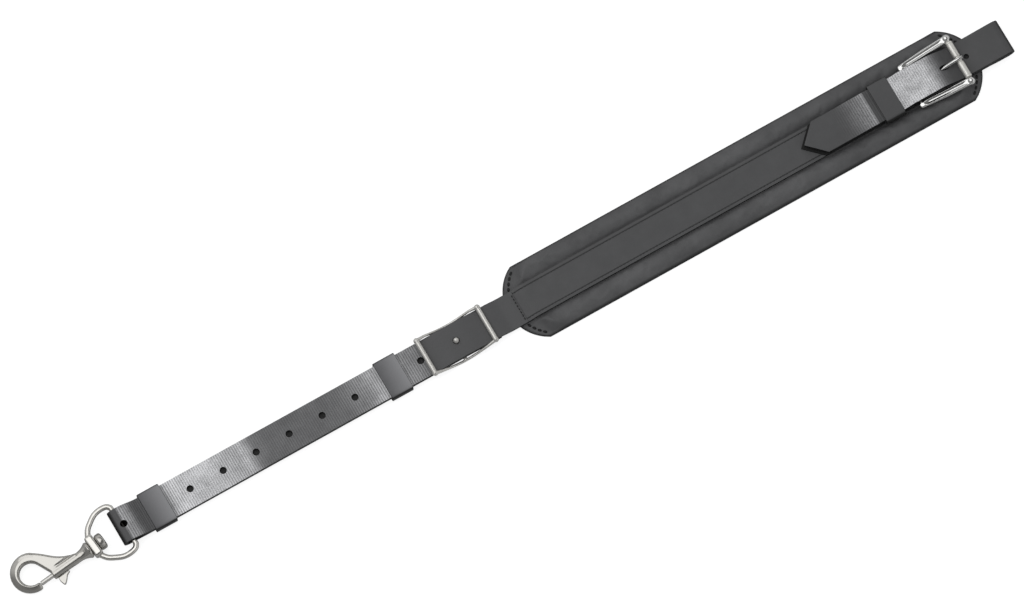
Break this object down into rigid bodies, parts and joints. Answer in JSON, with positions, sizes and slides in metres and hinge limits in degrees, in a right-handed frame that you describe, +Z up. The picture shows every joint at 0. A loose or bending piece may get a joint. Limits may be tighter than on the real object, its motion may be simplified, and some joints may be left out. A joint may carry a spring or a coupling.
{
  "type": "false martingale",
  "caption": "Padded black harness strap with a collar loop and roller buckle, a Conway-adjusted lower strap with sliding keepers, and a swivel bolt snap.",
  "frame": {"origin": "middle of the pad's underside, on the surface that the strap lies on", "axes": "+X along the strap to the collar loop, +Y across it, +Z up from the pad's underside"},
  "size_m": [0.941, 0.068, 0.0201],
  "materials": {
    "pad_lining": "matt black lining leather",
    "pad_core": "dark felt padding",
    "pad_cover": "smooth black leather with a low sheen",
    "strap": "black coated strap with fine ribs across it",
    "chape": "thin black leather",
    "fixed_keeper": "smooth black leather",
    "sliding_keeper": "smooth black leather that shines grey",
    "satin_steel": "satin stainless steel",
    "polished_steel": "polished stainless steel",
    "cast_steel": "tumbled cast stainless steel",
    "spring_wire": "spring wire"
  },
  "bodies": {
    "strap": {"pad_lining": "pad_lining", "pad_core": "pad_core", "pad_cover": "pad_cover", "adjusting_strap": "strap", "collar_strap": "strap", "buckle_chape": "chape", "fixed_keeper": "fixed_keeper", "buckle_frame": "polished_steel", "conway_frame": "satin_steel", "conway_stud": "satin_steel"},
    "upper_loop": {"upper_keeper": "sliding_keeper"},
    "lower_loop": {"lower_keeper": "sliding_keeper"},
    "roller": {"buckle_roller": "satin_steel"},
    "tongue": {"buckle_tongue": "polished_steel"},
    "eye": {"snap_eye": "cast_steel"},
    "snap": {"swivel_post": "cast_steel", "snap_body": "cast_steel", "bolt_spring": "spring_wire"},
    "bolt": {"snap_bolt": "satin_steel", "bolt_thumb": "cast_steel"}
  },
  "joints": [
    {"name": "upper_keeper_slide", "type": "slide", "parent": "strap", "child": "upper_loop", "axis": [1, 0, 0], "range_m": [-0.1, 0.018]},
    {"name": "lower_keeper_slide", "type": "slide", "parent": "strap", "child": "lower_loop", "axis": [1, 0, 0], "range_m": [-0.001, 0.1]},
    {"name": "roller_spin", "type": "hinge", "parent": "strap", "child": "roller", "pos_m": [0.206, 0, 0.015], "axis": [0, 1, 0], "continuous": true},
    {"name": "tongue_hinge", "type": "hinge", "parent": "strap", "child": "tongue", "pos_m": [0.1608, 0, 0.0125], "axis": [0, -1, 0], "range_deg": [0, 1.8]},
    {"name": "eye_hinge", "type": "hinge", "parent": "strap", "child": "eye", "pos_m": [-0.5875, 0, 0.00926], "axis": [-0.1011, 0.9949, 0], "range_deg": [-120, 120]},
    {"name": "snap_swivel", "type": "hinge", "parent": "eye", "child": "snap", "pos_m": [-0.62068, -0.00337, 0.00749], "axis": [-0.9935, -0.1009, -0.053], "continuous": true},
    {"name": "bolt_slide", "type": "slide", "parent": "snap", "child": "bolt", "axis": [0.9935, 0.1009, 0.053], "range_m": [0, 0.0115], "stiffness_N_per_m": 350, "springref_m": -0.008, "deforming": ["bolt_spring"]}
  ]
}
